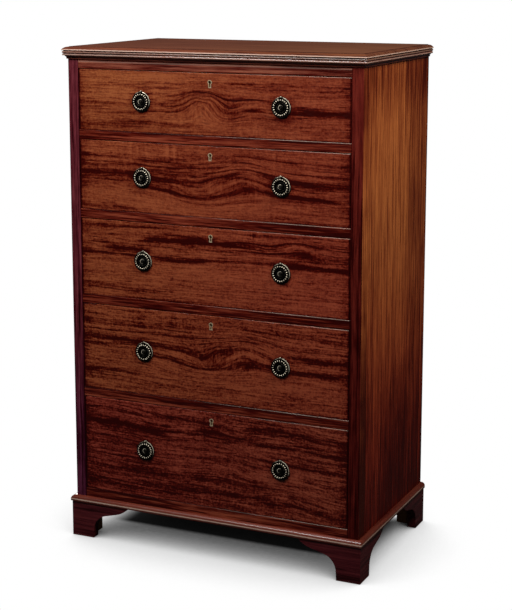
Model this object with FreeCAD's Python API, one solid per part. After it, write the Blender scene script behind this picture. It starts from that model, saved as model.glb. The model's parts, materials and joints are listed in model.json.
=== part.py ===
import FreeCAD, Part
import os
from FreeCAD import Vector

# A tall chest of five graduated drawers, in millimetres. +Z is up, the drawers face -Y, and the origin
# lies on the floor under the middle of the outline.

# Case
case_width = 756.0
case_depth = 450.0
stile_width = 28.0
stile_depth = 38.0
side_thickness = 22.0
rail_height = 22.0
rail_depth = 60.0
tenon_length = 12.0
tenon_margin = 5.0
tenon_setback = 8.0
tenon_depth = 22.0
sub_top_thickness = 18.0
bottom_thickness = 18.0
arris_radius = 0.8

# Heights of the drawer openings, top drawer first
opening_1 = 147.0
opening_2 = 170.0
opening_3 = 189.0
opening_4 = 214.0
opening_5 = 240.0

# Top board with its sunk thumb moulding over a quirk and a bead, and the astragal and cove mitred under it
top_overhang = 12.0
thumb_width = 14.0
thumb_height = 8.0
thumb_bow = 2.2
thumb_sink = 0.9
nose_round = 1.5
quirk_height = 1.3
quirk_depth = 4.0
bead_height = 5.2
bead_foot = 1.0
astragal_height = 4.5
astragal_reach = 9.2
astragal_bow = 0.9
cove_radius = 6.5
cove_foot = 1.5

# Base moulding: a square fascia with a quarter round on top
base_height = 14.0
base_projection = 12.0
base_round = 9.0

# Bracket feet. Heights of the spandrel curve are drops below the base moulding.
foot_height = 90.0
foot_projection = 9.0
bracket_thickness = 22.0
bracket_length = 160.0
toe_width = 60.0
toe_height = 20.0
toe_lean = 1.0
hollow_length = 34.0
hollow_drop = 28.5
hollow_bow = 9.4
run_length = 25.0
run_drop = 22.0
brow_bow = 3.6
brace_length = 110.0
brace_toe = 40.0
brace_thickness = 20.0
brace_bow = 12.0
corner_block = 32.0
corner_block_lift = 6.0
glue_block = 18.0
glue_block_length = 70.0

# Back boards and their nails
back_thickness = 10.0
back_rebate = 11.0
back_board_count = 5
back_board_gap = 0.6
nail_radius = 1.2
nail_length = 32.0
nail_head_radius = 3.5
nail_head_thickness = 1.2
nail_inset = 22.0
nail_clearance = 0.05

# Runners, guides, kickers and stops
runner_width = 34.0
guide_height = 12.0
stop_width = 40.0
stop_depth = 24.0
stop_height = 6.0
stop_inset = 130.0
stop_clearance = 0.3

# Drawer boxes
drawer_back_gap = 15.0
front_thickness = 22.0
front_lap = 6.0
lining_thickness = 11.0
drawer_back_thickness = 9.0
drawer_bottom_thickness = 8.0
drawer_bottom_raise = 9.0
groove_depth = 5.0
side_drop = 3.0
back_drop = 9.0
drawer_side_gap = 1.2
drawer_top_gap = 1.8
running_clearance = 0.3
tail_pitch = 42.0
pin_width = 8.0
tail_flare = 3.0

# Ring handles. Depths are measured out from the drawer face.
handle_offset = 180.0
plate_radius = 24.0
plate_thickness = 1.6
rim_width = 1.6
rim_height = 2.6
rosette_radius = 10.5
rosette_width = 2.0
rosette_height = 2.5
boss_radius = 7.7
boss_height = 5.2
boss_round = 2.4
dimple_radius = 2.6
dimple_depth = 1.0
peak_height = 26.4
peak_width = 20.0
peak_root = 20.0
peak_bow = 2.0
ring_radius = 17.4
ring_tube = 1.9
pivot_height = 23.2
pivot_depth = 5.0
pin_radius = 0.8
pin_clearance = 0.05
pin_seat_clearance = 0.02
barrel_radius = 1.9
barrel_length = 4.4
barrel_clearance = 0.3
ear_thickness = 1.6
ear_radius = 1.9
neck_width = 3.0
neck_thickness = 2.4
handle_bolt_radius = 2.5
handle_bolt_clearance = 0.1
handle_bolt_tail = 7.0
nut_radius = 5.5
nut_thickness = 4.0

# Locks. Heights are drops below the top edge of the drawer front.
lock_width = 56.0
lock_height = 36.0
lock_depth = 11.0
key_drop = 21.0
key_room_radius = 6.0
lock_wall = 1.6
key_pin_radius = 1.5
key_pin_setback = 5.0
bolt_width = 24.0
bolt_thickness = 5.0
bolt_height = 12.0
bolt_sink = 0.3
bolt_clearance = 0.3
bolt_throw = 8.0
mortise_clearance = 1.0
escutcheon_depth = 6.0
escutcheon_proud = 0.3
escutcheon_head = 5.5
escutcheon_neck = 6.0
escutcheon_foot = 8.0
escutcheon_tail = 13.0
escutcheon_wall = 1.9

# How close two points of an outline are when they are one
same_point = 1e-6

# How far a quarter circle of radius one bows out from its chord
quarter_bow = 1 - 0.5 ** 0.5

# Levels and planes that follow from the sizes above
opening_heights = (opening_1, opening_2, opening_3, opening_4, opening_5)
handle_reach = pivot_depth + max(ring_tube, barrel_radius)
front_reach = max(top_overhang, base_projection, foot_projection, handle_reach)
y_front = (front_reach - case_depth) / 2
y_back = y_front + case_depth
y_inner_back = y_back - back_thickness
y_inner_front = y_front + front_thickness
half_case = case_width / 2
half_opening = half_case - stile_width
inner_side = half_case - side_thickness
foot_outer = half_case + foot_projection
z_moulding = foot_height + base_height + sum(opening_heights) + rail_height * (len(opening_heights) + 1)
z_cove = z_moulding + cove_foot
z_case_top = z_cove + cove_radius + astragal_height
z_nose = z_case_top + bead_foot + bead_height + quirk_height
z_top = z_nose + nose_round + thumb_height


def drawer_openings():
    """The bottom and top level of each drawer opening, top drawer first."""
    top = z_moulding - rail_height
    levels = []
    for height in opening_heights:
        levels.append((top - height, top))
        top -= height + rail_height
    return levels


openings = drawer_openings()


# Shapes that several pieces share

def board(x0, x1, y0, y1, z0, z1):
    """A square-edged board between two opposite corners."""
    return Part.makeBox(x1 - x0, y1 - y0, z1 - z0, Vector(x0, y0, z0))


def bowed(start, end, rise):
    """The arc step from start to end that bows out by rise on the left of its chord."""
    across, up = end[0] - start[0], end[1] - start[1]
    chord = (across * across + up * up) ** 0.5
    middle = ((start[0] + end[0]) / 2 - up / chord * rise, (start[1] + end[1]) / 2 + across / chord * rise)
    return middle, end


def outline(place, start, steps):
    """A flat face: a point in steps is a straight run to it, a pair is an arc through the first point."""
    first = place(*start)
    here = first
    edges = []
    for step in steps:
        if isinstance(step[0], tuple):
            end = place(*step[1])
            edges.append(Part.Arc(here, place(*step[0]), end).toShape())
        else:
            end = place(*step)
            edges.append(Part.LineSegment(here, end).toShape())
        here = end
    if not here.isEqual(first, same_point):
        edges.append(Part.LineSegment(here, first).toShape())
    return Part.Face(Part.Wire(edges))


def fused(solids):
    """One solid from several that meet."""
    return solids[0].multiFuse(solids[1:]).removeSplitter().Solids[0]


def softened(solid, radius, wanted):
    """The solid with a rounded arris along each edge whose middle passes the test."""
    return solid.makeFillet(radius, [edge for edge in solid.Edges if wanted(edge.CenterOfMass)])


def moulded_slab(start, steps):
    """A slab with one edge profile on its front and both ends, mitred at the corners and square at the back.

    The profile runs up from start, as distances out from the case and heights. At each height the slab is
    a rectangle, so it is what the prisms of its three moulded edges have in common.
    """
    far = case_width + case_depth
    last = steps[-1][1] if isinstance(steps[-1][0], tuple) else steps[-1]
    closed = [start] + steps + [(-far, last[1])]
    root = (-far, start[1])
    front = outline(lambda out, z: Vector(-far, y_front - out, z), root, closed)
    slab = front.extrude(Vector(2 * far, 0, 0))
    for side in (-1, 1):
        end = outline(lambda out, z: Vector(side * (half_case + out), y_back - far, z), root, closed)
        slab = slab.common(end.extrude(Vector(0, far, 0)))
    return slab.Solids[0]


def mitre_wedge():
    """The space in front of the two mitre planes, which pass through the front corners of the case."""
    far = case_depth
    corners = [
        Vector(0, y_front + half_case, -far),
        Vector(half_case + far, y_front - far, -far),
        Vector(-half_case - far, y_front - far, -far),
    ]
    face = Part.Face(Part.makePolygon(corners + corners[:1]))
    return face.extrude(Vector(0, 0, z_top + 2 * far))


def mitred_lengths(slab, z0, z1):
    """What a moulded slab leaves round the case, cut at the front corners into front and end lengths."""
    ring = slab.cut(board(-half_case, half_case, y_front, y_back + case_depth, z0, z1))
    wedge = mitre_wedge()
    return ring.common(wedge).Solids + ring.cut(wedge).Solids


# The case

def rail_levels():
    """The bottom and top of each front rail, from the top rail down to the bottom rail."""
    levels = [(openings[0][1], z_case_top)]
    for low, high in openings[:-1]:
        levels.append((low - rail_height, low))
    levels.append((foot_height, openings[-1][0]))
    return levels


def bolt_plane():
    """The middle of the lock bolts, front to back."""
    return y_inner_front - lock_depth / 2


def front_rails():
    """Rails with soft front arrises and stub tenons, and a mortise under each one that a lock bolt enters."""
    rails = []
    for number, (low, high) in enumerate(rail_levels()):
        body = board(-half_opening, half_opening, y_front, y_front + rail_depth, low, high)
        body = softened(body, arris_radius, lambda at: at.y < y_front + arris_radius and abs(at.x) < arris_radius)
        tenons = board(
            -half_opening - tenon_length, half_opening + tenon_length,
            y_front + tenon_setback, y_front + tenon_setback + tenon_depth,
            low + tenon_margin, high - tenon_margin,
        )
        rail = fused([body, tenons])
        if number < len(openings):
            half_length = bolt_width / 2 + mortise_clearance
            half_width = bolt_thickness / 2 + mortise_clearance
            depth = bolt_throw - drawer_top_gap + mortise_clearance
            rail = rail.cut(board(
                -half_length, half_length, bolt_plane() - half_width, bolt_plane() + half_width,
                low, low + depth,
            )).Solids[0]
        rails.append(rail)
    return rails


def front_stiles(rails):
    """The corner posts, with a soft front arris and a mortise for each rail."""
    stiles = []
    for side in (-1, 1):
        edges = sorted((side * half_opening, side * half_case))
        post = board(edges[0], edges[1], y_front, y_front + stile_depth, foot_height, z_case_top)
        post = softened(post, arris_radius, lambda at: at.y < y_front + arris_radius
                        and abs(at.x - side * half_case) < arris_radius)
        stiles.append(post.cut(Part.makeCompound(rails)).Solids[0])
    return stiles


def side_panel(side):
    """One side board behind its post, with a rebate for the back boards."""
    outer, inner = side * half_case, side * inner_side
    panel = board(min(outer, inner), max(outer, inner), y_front + stile_depth, y_back, foot_height, z_case_top)
    lip = inner + side * back_rebate
    rebate = board(min(inner, lip), max(inner, lip), y_inner_back, y_back, foot_height, z_case_top)
    return panel.cut(rebate).Solids[0]


def back_board_spans():
    """The left and right edge of each back board."""
    half_back = inner_side + back_rebate
    pitch = 2 * half_back / back_board_count
    spans = []
    for number in range(back_board_count):
        left = -half_back + number * pitch
        spans.append((left + back_board_gap / 2, left + pitch - back_board_gap / 2))
    return spans


def back_nails(clearance):
    """Flush-headed nails along the top and bottom of the back. With a clearance they are their own holes."""
    nails = []
    heights = (z_case_top - sub_top_thickness / 2, foot_height + bottom_thickness / 2)
    for left, right in back_board_spans():
        for x in (left + nail_inset, right - nail_inset):
            for z in heights:
                tip = Vector(x, y_back - nail_length - clearance, z)
                seat = Vector(x, y_back - nail_head_thickness - clearance, z)
                forward = Vector(0, 1, 0)
                shank = Part.makeCylinder(nail_radius + clearance, nail_length + clearance, tip, forward)
                head = Part.makeCylinder(
                    nail_head_radius + clearance, nail_head_thickness + clearance, seat, forward)
                nails.append(fused([shank, head]))
    return nails


def back_boards(holes):
    """Upright boards in the rebates of the sides."""
    boards = []
    for left, right in back_board_spans():
        plain = board(left, right, y_inner_back, y_back, foot_height, z_case_top)
        boards.append(plain.cut(holes).Solids[0])
    return boards


def inner_panel(z0, z1, holes):
    """A board between the sides, from the rails to the back: the sub-top or the bottom."""
    panel = board(-inner_side, inner_side, y_front + rail_depth, y_inner_back, z0, z1)
    return panel.cut(holes).Solids[0]


def drawer_runners():
    """Runners in line with the rails, guides beside the drawers, and kickers over the top drawer."""
    strips = []
    floors = [low - rail_height for low, high in openings[:-1]] + [foot_height + bottom_thickness]
    for side in (-1, 1):
        runner_edges = sorted((side * inner_side, side * (inner_side - runner_width)))
        guide_edges = sorted((side * inner_side, side * half_opening))
        for (low, high), floor in zip(openings, floors):
            strips.append(board(*runner_edges, y_front + rail_depth, y_inner_back, floor, low))
            strips.append(board(*guide_edges, y_front + stile_depth, y_inner_back, low, low + guide_height))
        strips.append(board(*runner_edges, y_front + rail_depth, y_inner_back,
                            openings[0][1], z_case_top - sub_top_thickness))
    return strips


def drawer_stops():
    """Two small blocks on the rail under each drawer, which meet the back of the drawer front."""
    blocks = []
    near = y_inner_front + stop_clearance
    for low, high in openings:
        for side in (-1, 1):
            edges = sorted(side * (half_opening - stop_inset - reach) for reach in (0, stop_width))
            blocks.append(board(*edges, near, near + stop_depth, low, low + stop_height))
    return blocks


def top_board():
    """The top: a sunk thumb moulding with a rounded nose, over a quirk and a bead."""
    inner = top_overhang - quirk_depth
    bead_low = (inner, z_case_top + bead_foot)
    bead_high = (inner, bead_low[1] + bead_height)
    lip = (top_overhang - nose_round, z_nose)
    tip = (top_overhang, z_nose + nose_round)
    shoulder = (top_overhang - thumb_width, z_top - thumb_sink)
    return moulded_slab((inner, z_case_top), [
        bead_low,
        bowed(bead_low, bead_high, -bead_height / 2),
        (inner, z_nose),
        lip,
        bowed(lip, tip, -nose_round * quarter_bow),
        bowed(tip, shoulder, -thumb_bow),
        (shoulder[0], z_top),
    ])


def top_mouldings():
    """The astragal and cove under the top, in three mitred lengths."""
    start = (astragal_reach - cove_radius, z_moulding)
    cove_low = (astragal_reach - cove_radius, z_cove)
    cove_high = (astragal_reach, z_cove + cove_radius)
    hollow = bowed(cove_low, cove_high, cove_radius * quarter_bow)
    astragal = bowed(cove_high, (astragal_reach, z_case_top), -astragal_bow)
    slab = moulded_slab(start, [cove_low, hollow, astragal])
    return mitred_lengths(slab, z_moulding, z_case_top)


def base_mouldings():
    """The moulding over the feet, in three mitred lengths."""
    low, high = foot_height, foot_height + base_height
    shoulder = (base_projection, high - base_round)
    start = (base_projection, low)
    crown = (base_projection - base_round, high)
    slab = moulded_slab(start, [shoulder, bowed(shoulder, crown, -base_round * quarter_bow)])
    return mitred_lengths(slab, low, high)


def bracket_steps():
    """A bracket's edge from its toe: a leaning toe, a hollow, a long run and a round brow."""
    toe = (toe_width + toe_lean, toe_height)
    hollow_end = (toe[0] + hollow_length, foot_height - hollow_drop)
    run_end = (hollow_end[0] + run_length, foot_height - run_drop)
    brow_end = (bracket_length, foot_height)
    return [
        (toe_width, 0.0), toe, bowed(toe, hollow_end, hollow_bow), run_end,
        bowed(run_end, brow_end, -brow_bow), (0.0, foot_height),
    ]


def bracket_feet():
    """Front brackets mitred in pairs, side brackets at the back, and a plain brace behind each back foot."""
    corner = (0.0, 0.0)
    y_outer = y_front - foot_projection
    wedge = mitre_wedge()
    brackets = []
    for side in (-1, 1):
        inward = Vector(-side * bracket_thickness, 0, 0)
        front = outline(lambda s, z: Vector(side * (foot_outer - s), y_outer, z), corner, bracket_steps())
        brackets.append(front.extrude(Vector(0, bracket_thickness, 0)).common(wedge).Solids[0])
        fore = outline(lambda s, z: Vector(side * foot_outer, y_outer + s, z), corner, bracket_steps())
        brackets.append(fore.extrude(inward).cut(wedge).Solids[0])
        rear = outline(lambda s, z: Vector(side * foot_outer, y_back - s, z), corner, bracket_steps())
        brackets.append(rear.extrude(inward))
        toe, top = (brace_toe, 0.0), (brace_length, foot_height)
        root = foot_outer - bracket_thickness
        brace = outline(lambda s, z: Vector(side * (root - s), y_back, z), corner,
                        [toe, bowed(toe, top, brace_bow), (0.0, foot_height)])
        brackets.append(brace.extrude(Vector(0, -brace_thickness, 0)))
    return brackets


def foot_blocks():
    """An upright block in the corner of each foot, and glue blocks along the front and side brackets."""
    blocks = []
    y_fore = y_front - foot_projection + bracket_thickness
    y_aft = y_back - brace_thickness
    z_glue = foot_height - glue_block
    for side in (-1, 1):
        root = foot_outer - bracket_thickness
        upright = sorted((side * root, side * (root - corner_block)))
        along = sorted((side * (root - corner_block), side * (root - corner_block - glue_block_length)))
        strip = sorted((side * root, side * (root - glue_block)))
        fore_end = y_fore + corner_block
        aft_end = y_aft - corner_block
        blocks.append(board(*upright, y_fore, fore_end, corner_block_lift, foot_height))
        blocks.append(board(*upright, aft_end, y_aft, corner_block_lift, foot_height))
        blocks.append(board(*along, y_fore, y_fore + glue_block, z_glue, foot_height))
        blocks.append(board(*strip, fore_end, fore_end + glue_block_length, z_glue, foot_height))
        blocks.append(board(*strip, aft_end - glue_block_length, aft_end, z_glue, foot_height))
    return blocks


# The drawers

def drawer_levels(low, high):
    """The underside and top of a drawer front in its opening."""
    return low + running_clearance, high - drawer_top_gap


def tail_gaps(edges, y_tip, y_root, z0, z1):
    """The spaces between dovetails on the end of a drawer side: wedges that widen from tip to root."""
    count = max(2, round((z1 - z0) / tail_pitch))
    pitch = (z1 - z0) / count
    gaps = []
    for number in range(count + 1):
        middle = z0 + number * pitch
        tip, root = pin_width / 2, pin_width / 2 + tail_flare
        face = outline(lambda y, z: Vector(edges[0], y, z), (y_tip, max(z0, middle - tip)), [
            (y_tip, min(z1, middle + tip)), (y_root, min(z1, middle + root)), (y_root, max(z0, middle - root)),
        ])
        gaps.append(face.extrude(Vector(edges[1] - edges[0], 0, 0)))
    return gaps


def drawer_box(low, high):
    """A dovetailed drawer: its front, two sides, back and bottom."""
    z0, z1 = drawer_levels(low, high)
    half_width = half_opening - drawer_side_gap
    y_end = y_inner_back - drawer_back_gap
    y_inner_end = y_end - drawer_back_thickness
    z_panel = z0 + drawer_bottom_raise
    z_floor = z_panel + drawer_bottom_thickness
    side_top = z1 - side_drop
    back_top = side_top - back_drop

    reach = half_width - lining_thickness + groove_depth
    bottom = board(-reach, reach, y_inner_front - groove_depth, y_end, z_panel, z_floor)
    sides = []
    for side in (-1, 1):
        edges = sorted((side * half_width, side * (half_width - lining_thickness)))
        lining = board(*edges, y_front + front_lap, y_end, z0, side_top)
        gaps = tail_gaps(edges, y_front + front_lap, y_inner_front, z0, side_top)
        gaps += tail_gaps(edges, y_end, y_inner_end, z_floor, back_top)
        sides.append(lining.cut(Part.makeCompound(gaps)).cut(bottom).Solids[0])
    both_sides = Part.makeCompound(sides)
    back = board(-half_width, half_width, y_inner_end, y_end, z_floor, back_top).cut(both_sides).Solids[0]
    front = board(-half_width, half_width, y_front, y_inner_front, z0, z1)
    front = softened(front, arris_radius, lambda at: abs(at.y - y_front) < arris_radius / 2)
    front = front.cut(both_sides).cut(bottom)
    return front, sides, back, bottom


def keyhole(z, head, neck, foot, tail, y0, y1):
    """A keyhole-shaped prism through y0 to y1: a round head with a skirt that widens downwards."""
    depth = Vector(0, y1 - y0, 0)
    skirt = outline(lambda x, up: Vector(x, y0, z + up), (-neck / 2, 0.0), [
        (-foot / 2, -tail), (foot / 2, -tail), (neck / 2, 0.0),
    ])
    return fused([Part.makeCylinder(head, y1 - y0, Vector(0, y0, z), Vector(0, 1, 0)), skirt.extrude(depth)])


def lock_pieces(z1):
    """A drawer lock: its case with the key pin, the keyhole thread, the bolt, and what the front gives up."""
    y_case = y_inner_front - lock_depth
    z_key = z1 - key_drop
    forward = Vector(0, 1, 0)
    body = board(-lock_width / 2, lock_width / 2, y_case, y_inner_front, z1 - lock_height, z1)

    z_bolt_top = z1 - bolt_sink
    half_bolt = (bolt_width / 2, bolt_thickness / 2)
    bolt = board(-half_bolt[0], half_bolt[0], bolt_plane() - half_bolt[1], bolt_plane() + half_bolt[1],
                 z_bolt_top - bolt_height, z_bolt_top)
    pocket = board(
        -half_bolt[0] - bolt_clearance, half_bolt[0] + bolt_clearance,
        bolt_plane() - half_bolt[1] - bolt_clearance, bolt_plane() + half_bolt[1] + bolt_clearance,
        z_bolt_top - bolt_height - bolt_clearance, z1,
    )
    key_room = Part.makeCylinder(key_room_radius, lock_depth - lock_wall, Vector(0, y_case, z_key), forward)
    pin_start = y_front + key_pin_setback
    key_pin = Part.makeCylinder(key_pin_radius, y_inner_front - pin_start, Vector(0, pin_start, z_key), forward)
    case = fused([body.cut(pocket).cut(key_room), key_pin])

    shell = keyhole(z_key, escutcheon_head, escutcheon_neck, escutcheon_foot, escutcheon_tail,
                    y_front - escutcheon_proud, y_front + escutcheon_depth)
    hole = keyhole(z_key, escutcheon_head - escutcheon_wall, escutcheon_neck - 2 * escutcheon_wall,
                   escutcheon_foot - 2 * escutcheon_wall, escutcheon_tail - escutcheon_wall,
                   y_front - front_thickness, y_case)
    thread = shell.cut(hole).Solids[0]
    cuts = Part.makeCompound([body, shell, hole])
    return case, thread, bolt, cuts


def handle_plate(x, z):
    """A round back plate with a rim, rosette and dimpled boss, and two ears under a pointed peak."""
    rim_inner = plate_radius - rim_width
    rosette_outer = rosette_radius + rosette_width / 2
    rosette_inner = rosette_radius - rosette_width / 2
    rim_middle = (plate_radius - rim_width / 2, rim_height)
    wall_top = (boss_radius, boss_height - boss_round)
    crown = (boss_radius - boss_round, boss_height)
    dimple_sphere = (dimple_radius ** 2 + dimple_depth ** 2) / (2 * dimple_depth)
    dimple_sag = dimple_sphere - (dimple_sphere ** 2 - dimple_radius ** 2 / 4) ** 0.5
    dimple_floor = boss_height - dimple_depth
    profile = outline(lambda r, out: Vector(x + r, y_front - out, z), (0.0, 0.0), [
        (plate_radius, 0.0), (plate_radius, plate_thickness),
        (rim_middle, (rim_inner, plate_thickness)),
        (rosette_outer, plate_thickness),
        ((rosette_radius, rosette_height), (rosette_inner, plate_thickness)),
        (boss_radius, plate_thickness), wall_top,
        bowed(wall_top, crown, -boss_round * quarter_bow), (dimple_radius, boss_height),
        ((dimple_radius / 2, dimple_floor + dimple_sag), (0.0, dimple_floor)),
    ])
    plate = profile.revolve(Vector(x, y_front, z), Vector(0, 1, 0), 360)

    left, right, apex = (-peak_width / 2, peak_root), (peak_width / 2, peak_root), (0.0, peak_height)
    peak = outline(lambda across, up: Vector(x + across, y_front, z + up), left, [
        right, bowed(right, apex, -peak_bow), bowed(apex, left, -peak_bow),
    ]).extrude(Vector(0, -plate_thickness, 0))

    ears = []
    z_pivot = z + pivot_height
    y_pivot = y_front - pivot_depth
    inner = barrel_length / 2 + barrel_clearance
    sideways = Vector(1, 0, 0)
    for side in (-1, 1):
        edges = sorted((x + side * inner, x + side * (inner + ear_thickness)))
        ears.append(board(*edges, y_pivot, y_front, z_pivot - ear_radius, z_pivot + ear_radius))
        ears.append(Part.makeCylinder(ear_radius, ear_thickness, Vector(edges[0], y_pivot, z_pivot), sideways))
    half_pin = inner + ear_thickness
    pin_hole = Part.makeCylinder(pin_radius + pin_seat_clearance, 2 * half_pin,
                                 Vector(x - half_pin, y_pivot, z_pivot), sideways)
    pin = Part.makeCylinder(pin_radius, 2 * half_pin, Vector(x - half_pin, y_pivot, z_pivot), sideways)
    return fused([plate, peak] + ears).cut(pin_hole).Solids[0], pin


def handle_fixing(x, z):
    """The bolt that holds a handle plate, its nut inside the drawer, and the hole through the front."""
    inward = Vector(0, 1, 0)
    seat = Vector(x, y_front, z)
    length = front_thickness + handle_bolt_tail
    bolt = Part.makeCylinder(handle_bolt_radius, length, seat, inward)
    hole = Part.makeCylinder(handle_bolt_radius + handle_bolt_clearance, length, seat, inward)
    corners = Part.makePolygon([
        Vector(x + nut_radius * across, y_inner_front, z + nut_radius * up)
        for across, up in ((1, 0), (0.5, 0.866), (-0.5, 0.866), (-1, 0), (-0.5, -0.866), (0.5, -0.866), (1, 0))
    ])
    nut = Part.Face(corners).extrude(Vector(0, nut_thickness, 0)).cut(hole).Solids[0]
    return bolt, nut, hole


def handle_ring(x, z):
    """The ring that hangs in front of its plate from an eye on the pin."""
    y_pivot = y_front - pivot_depth
    z_pivot = z + pivot_height
    sideways = Vector(1, 0, 0)
    start = Vector(x - barrel_length / 2, y_pivot, z_pivot)
    ring = Part.makeTorus(ring_radius, ring_tube, Vector(x, y_pivot, z), Vector(0, 1, 0))
    barrel = Part.makeCylinder(barrel_radius, barrel_length, start, sideways)
    neck = board(x - neck_width / 2, x + neck_width / 2, y_pivot - neck_thickness / 2,
                 y_pivot + neck_thickness / 2, z + ring_radius, z_pivot)
    eye = Part.makeCylinder(pin_radius + pin_clearance, barrel_length, start, sideways)
    return fused([ring, neck, barrel]).cut(eye).Solids[0]


def drawer_nodes(name, low, high):
    """Every node of one drawer, by name."""
    front, sides, back, bottom = drawer_box(low, high)
    z0, z1 = drawer_levels(low, high)
    case, thread, bolt, lock_cuts = lock_pieces(z1)
    front = front.cut(lock_cuts)
    fittings = []
    nodes = {}
    z_handle = (z0 + z1) / 2
    for x, hand in ((-handle_offset, "left"), (handle_offset, "right")):
        plate, pin = handle_plate(x, z_handle)
        handle_bolt, nut, hole = handle_fixing(x, z_handle)
        front = front.cut(hole)
        fittings += [plate, pin, handle_bolt, nut]
        nodes[name + "_ring_" + hand] = [handle_ring(x, z_handle)]
    nodes[name + "_front"] = [front.Solids[0]]
    nodes[name + "_sides"] = sides
    nodes[name + "_back"] = [back]
    nodes[name + "_bottom"] = [bottom]
    nodes[name + "_handle_plates"] = fittings
    nodes[name + "_lock"] = [case, thread]
    nodes[name + "_lock_bolt"] = [bolt]
    return nodes


# The whole chest

def case_nodes():
    """Every node of the case, by name."""
    rails = front_rails()
    holes = Part.makeCompound(back_nails(nail_clearance))
    return {
        "front_rails": rails,
        "front_stiles": front_stiles(rails),
        "side_left": [side_panel(-1)],
        "side_right": [side_panel(1)],
        "sub_top": [inner_panel(z_case_top - sub_top_thickness, z_case_top, holes)],
        "bottom_board": [inner_panel(foot_height, foot_height + bottom_thickness, holes)],
        "back_boards": back_boards(holes),
        "back_nails": back_nails(0.0),
        "drawer_runners": drawer_runners(),
        "drawer_stops": drawer_stops(),
        "top_board": [top_board()],
        "top_mouldings": top_mouldings(),
        "base_mouldings": base_mouldings(),
        "bracket_feet": bracket_feet(),
        "foot_blocks": foot_blocks(),
    }


def chest_nodes():
    """Every node of the chest, by name."""
    nodes = case_nodes()
    for number, (low, high) in enumerate(openings, 1):
        nodes.update(drawer_nodes("drawer_" + str(number), low, high))
    return nodes


os.makedirs("parts", exist_ok=True)
for node, solids in chest_nodes().items():
    shape = solids[0] if len(solids) == 1 else Part.makeCompound(solids)
    shape.exportStep("parts/" + node + ".step")
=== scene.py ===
import json
import math

import bmesh
import bpy
import numpy as np
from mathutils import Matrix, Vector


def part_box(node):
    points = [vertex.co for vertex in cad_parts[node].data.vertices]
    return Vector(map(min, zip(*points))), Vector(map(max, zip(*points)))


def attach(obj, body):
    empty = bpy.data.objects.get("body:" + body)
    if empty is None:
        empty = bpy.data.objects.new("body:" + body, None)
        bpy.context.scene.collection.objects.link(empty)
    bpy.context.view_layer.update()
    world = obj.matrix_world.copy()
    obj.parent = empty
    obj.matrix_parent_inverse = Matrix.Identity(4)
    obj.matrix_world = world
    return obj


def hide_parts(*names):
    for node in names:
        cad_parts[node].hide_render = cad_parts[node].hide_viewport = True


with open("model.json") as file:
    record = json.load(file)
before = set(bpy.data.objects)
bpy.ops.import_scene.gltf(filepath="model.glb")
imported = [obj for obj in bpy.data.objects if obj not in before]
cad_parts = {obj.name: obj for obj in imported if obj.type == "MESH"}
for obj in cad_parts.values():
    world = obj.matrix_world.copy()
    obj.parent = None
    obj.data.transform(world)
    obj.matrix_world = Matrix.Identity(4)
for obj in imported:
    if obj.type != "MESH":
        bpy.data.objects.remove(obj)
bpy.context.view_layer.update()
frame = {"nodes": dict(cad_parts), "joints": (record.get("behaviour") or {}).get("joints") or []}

# The looks of a tall mahogany chest of drawers, in metres. +Z is up and the drawers face -Y.
# Distances on the handles are millimetres from the middle of their plate.

MM = 0.001
DRAWERS = range(1, 6)
HANDS = ("left", "right")
case_low, case_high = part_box("front_stiles")
top_low, top_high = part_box("top_board")
back_low, back_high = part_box("back_boards")
Y_FACE = case_low.y
Y_BACK = back_high.y
HALF_CASE = case_high.x
COVE_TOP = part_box("top_mouldings")[1].z
BASE_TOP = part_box("base_mouldings")[1].z
BACK_BOARDS = 5
FRONTS = {number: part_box(f"drawer_{number}_front") for number in DRAWERS}
PIVOTS = {joint["child"]: joint["pos_m"] for joint in frame["joints"] if "pos_m" in joint}


# Surfaces

WELD_DISTANCE = 0.002 * MM
CREASE_ANGLE = math.radians(38)


def place_object(name, data):
    """An object in the scene, at the origin."""
    holder = bpy.data.objects.new(name, data)
    bpy.context.scene.collection.objects.link(holder)
    return holder


def loft(points, wrap_rows=False):
    """Quads over a grid of points (rows, columns, xyz). Each row is a loop, and wrapped rows make a tube.

    The quads face outwards: they are turned round if the volume that they enclose is negative, which is the
    sum over the triangles of a corner dotted with the cross product of the other two.
    """
    rows, columns = points.shape[:2]
    index = np.arange(rows * columns).reshape(rows, columns)
    if wrap_rows:
        index = np.vstack([index, index[:1]])
    index = np.hstack([index, index[:, :1]])
    quads = np.stack([index[:-1, :-1], index[1:, :-1], index[1:, 1:], index[:-1, 1:]], axis=-1).reshape(-1, 4)
    flat = points.reshape(-1, 3)
    a, b, c, d = (flat[quads[:, corner]] for corner in range(4))
    volume = np.sum(a * (np.cross(b, c) + np.cross(c, d)))
    return flat, quads if volume > 0 else quads[:, ::-1]


def make_piece(name, parts, finish, body, replaced):
    """One mesh from several closed surfaces, each a triple of points, quads and paleness, set on a body.

    The paleness, from 0 in the hollows to 1 on the high spots, is kept as an attribute of the points. It is
    wear, and on the rims and collars of the plates also a painted highlight.
    """
    starts = np.cumsum([0] + [len(points) for points, _, _ in parts[:-1]])
    points = np.concatenate([points for points, _, _ in parts])
    quads = np.concatenate([quads + start for (_, quads, _), start in zip(parts, starts)])
    rubbed = np.concatenate([np.broadcast_to(worn_and_highlight, len(points)) for points, _, worn_and_highlight in parts])
    mesh = bpy.data.meshes.new(name)
    mesh.from_pydata(points.tolist(), [], quads.tolist())
    mesh.attributes.new("rubbed", "FLOAT", "POINT").data.foreach_set("value", rubbed.astype(np.float32))
    welded = bmesh.new()
    welded.from_mesh(mesh)
    bmesh.ops.remove_doubles(welded, verts=welded.verts, dist=WELD_DISTANCE)
    welded.to_mesh(mesh)
    welded.free()
    mesh.shade_smooth()
    mesh.set_sharp_from_angle(angle=CREASE_ANGLE)
    mesh.materials.append(finish)
    piece = place_object(name, mesh)
    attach(piece, body)
    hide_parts(replaced)


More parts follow.
